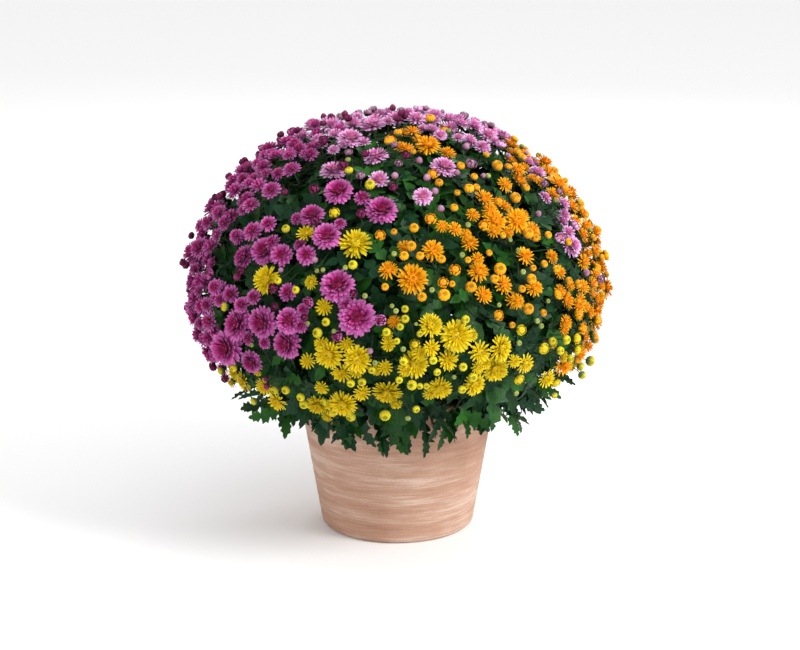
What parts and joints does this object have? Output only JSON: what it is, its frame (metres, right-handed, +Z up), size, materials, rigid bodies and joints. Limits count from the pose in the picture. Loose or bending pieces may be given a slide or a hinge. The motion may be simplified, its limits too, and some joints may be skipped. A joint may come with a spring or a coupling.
{
  "type": "potted chrysanthemum plant",
  "caption": "Rounded bush of small double chrysanthemum flowers in magenta, pink, yellow and orange over lobed dark leaves, growing in a tapered clay pot.",
  "frame": {"origin": "on the pot's axis at the surface the pot stands on, with the plant spread evenly round it", "axes": "+Z up along the pot's axis; -Y is the side that the yellow flowers grow on; +X is the side of the orange flowers"},
  "size_m": [0.5086, 0.5078, 0.5023],
  "materials": {
    "terracotta": "matte",
    "soil": "matte",
    "foliage": "satin",
    "magenta_petals": "satin",
    "pink_petals": "satin",
    "yellow_petals": "satin",
    "orange_petals": "satin"
  },
  "bodies": {
    "root": {"flowers_magenta_00": "magenta_petals", "flowers_magenta_01": "magenta_petals", "flowers_magenta_02": "magenta_petals", "flowers_magenta_03": "magenta_petals", "flowers_magenta_04": "magenta_petals", "flowers_magenta_05": "magenta_petals", "flowers_magenta_06": "magenta_petals", "flowers_orange_18": "orange_petals", "flowers_orange_19": "orange_petals", "flowers_orange_20": "orange_petals", "flowers_orange_21": "orange_petals", "flowers_orange_22": "orange_petals", "flowers_orange_23": "orange_petals", "flowers_orange_24": "orange_petals", "flowers_pink_07": "pink_petals", "flowers_pink_08": "pink_petals", "flowers_pink_09": "pink_petals", "flowers_pink_10": "pink_petals", "flowers_pink_11": "pink_petals", "flowers_pink_12": "pink_petals", "flowers_pink_13": "pink_petals", "flowers_yellow_14": "yellow_petals", "flowers_yellow_15": "yellow_petals", "flowers_yellow_16": "yellow_petals", "flowers_yellow_17": "yellow_petals", "leafy_stem_00": "foliage", "leafy_stem_01": "foliage", "leafy_stem_02": "foliage", "leafy_stem_03": "foliage", "leafy_stem_04": "foliage", "leafy_stem_05": "foliage", "leafy_stem_06": "foliage", "leafy_stem_07": "foliage", "leafy_stem_08": "foliage", "leafy_stem_09": "foliage", "leafy_stem_10": "foliage", "leafy_stem_11": "foliage", "leafy_stem_12": "foliage", "leafy_stem_13": "foliage", "leafy_stem_14": "foliage", "leafy_stem_15": "foliage", "leafy_stem_16": "foliage", "leafy_stem_17": "foliage", "leafy_stem_18": "foliage", "leafy_stem_19": "foliage", "leafy_stem_20": "foliage", "leafy_stem_21": "foliage", "leafy_stem_22": "foliage", "leafy_stem_23": "foliage", "leafy_stem_24": "foliage", "pot": "terracotta", "soil": "soil"}
  },
  "joints": []
}
